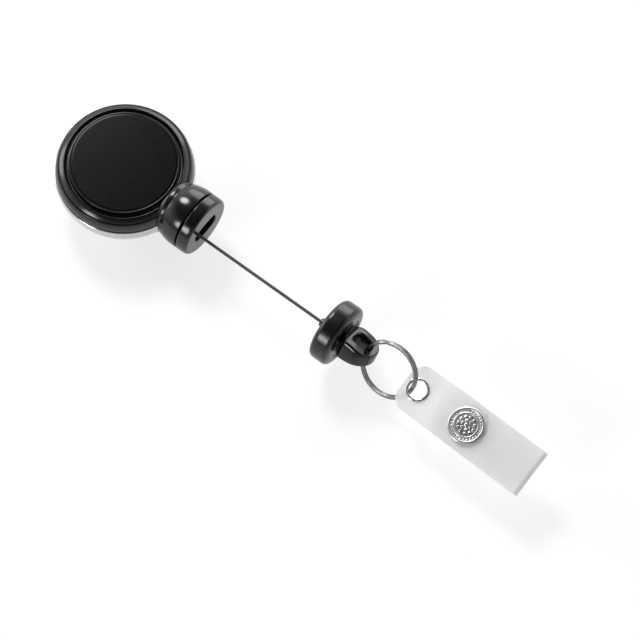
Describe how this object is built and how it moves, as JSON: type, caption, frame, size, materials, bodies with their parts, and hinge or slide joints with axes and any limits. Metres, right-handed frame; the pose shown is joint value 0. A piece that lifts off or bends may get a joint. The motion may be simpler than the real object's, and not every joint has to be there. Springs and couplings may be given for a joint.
{
  "type": "retractable badge reel",
  "caption": "Round badge reel on a belt clip, with a sprung spool, a pull cord, a flanged swivel stopper, a split ring and a snap strap.",
  "frame": {"origin": "on the casing's axis, in the plane that the belt clip's leaf rests on", "axes": "+Z out of the casing's face, +X the way the cord pulls out, +Y across"},
  "size_m": [0.1491, 0.036, 0.0204],
  "materials": {
    "chrome": "polished chrome plate",
    "steel": "nickel-plated steel",
    "spring_steel": "nickel-plated spring steel",
    "black_gloss": "black moulded plastic, semi-gloss",
    "black_satin": "black moulded plastic, fine satin texture",
    "nylon": "natural nylon",
    "cord": "braided nylon",
    "strap": "clear soft vinyl with a woven reinforcing mesh"
  },
  "bodies": {
    "casing": {"back_shell": "chrome", "front_cap": "black_gloss", "face_disc": "black_satin", "nozzle_barrel": "black_gloss", "nozzle_collar": "black_gloss", "cord_bush": "steel", "axle": "steel", "cord_feed": "cord", "cord": "cord", "clip_plate": "spring_steel", "clip_rivet_1": "steel", "clip_rivet_2": "steel"},
    "spool": {"spool": "nylon", "spool_lid": "nylon", "mainspring": "spring_steel", "cord_winding": "cord"},
    "stopper": {"stopper": "black_satin", "cord_crimp": "steel"},
    "swivel": {"swivel_eye": "black_gloss"},
    "ring": {"split_ring": "steel"},
    "strap": {"strap_lower": "strap", "strap_fold": "strap", "eyelet": "steel", "eyelet_washer": "steel", "snap_stud": "steel", "snap_post": "steel"},
    "flap": {"strap_upper": "strap", "snap_cap": "chrome", "snap_socket": "steel"},
    "clip": {"clip_leaf": "spring_steel"}
  },
  "joints": [
    {"name": "cord_pull", "type": "slide", "parent": "casing", "child": "stopper", "axis": [1, 0, 0], "range_m": [-0.04, 0.56], "deforming": ["cord"]},
    {"name": "spool_spin", "type": "hinge", "parent": "casing", "child": "spool", "pos_m": [0, 0, 0.012], "axis": [0, 0, 1], "range_deg": [-230, 3060]},
    {"name": "swivel_spin", "type": "hinge", "parent": "stopper", "child": "swivel", "pos_m": [0.0712, -0.0025, 0.012], "axis": [1, 0, 0], "continuous": true},
    {"name": "ring_swing", "type": "hinge", "parent": "swivel", "child": "ring", "pos_m": [0.0785, -0.0025, 0.012], "axis": [0, 0.5736, 0.8192], "range_deg": [-40, 40]},
    {"name": "strap_swing", "type": "hinge", "parent": "ring", "child": "strap", "pos_m": [0.0935, -0.0025, 0.012], "axis": [0, 0.5736, 0.8192], "range_deg": [-60, 60]},
    {"name": "snap_open", "type": "hinge", "parent": "strap", "child": "flap", "pos_m": [0.12983, -0.00365, 0.01288], "axis": [0.0255, 0.974, 0.225], "range_deg": [0, 150], "deforming": ["strap_fold"]},
    {"name": "clip_flex", "type": "hinge", "parent": "casing", "child": "clip", "pos_m": [-0.0135, 0, 0.0055], "axis": [0, 1, 0], "range_deg": [0, 12], "stiffness_Nm_per_rad": 0.6}
  ],
  "couplings": [
    {"joint": "spool_spin", "follows": "cord_pull", "rad_per_m": 94.34}
  ]
}
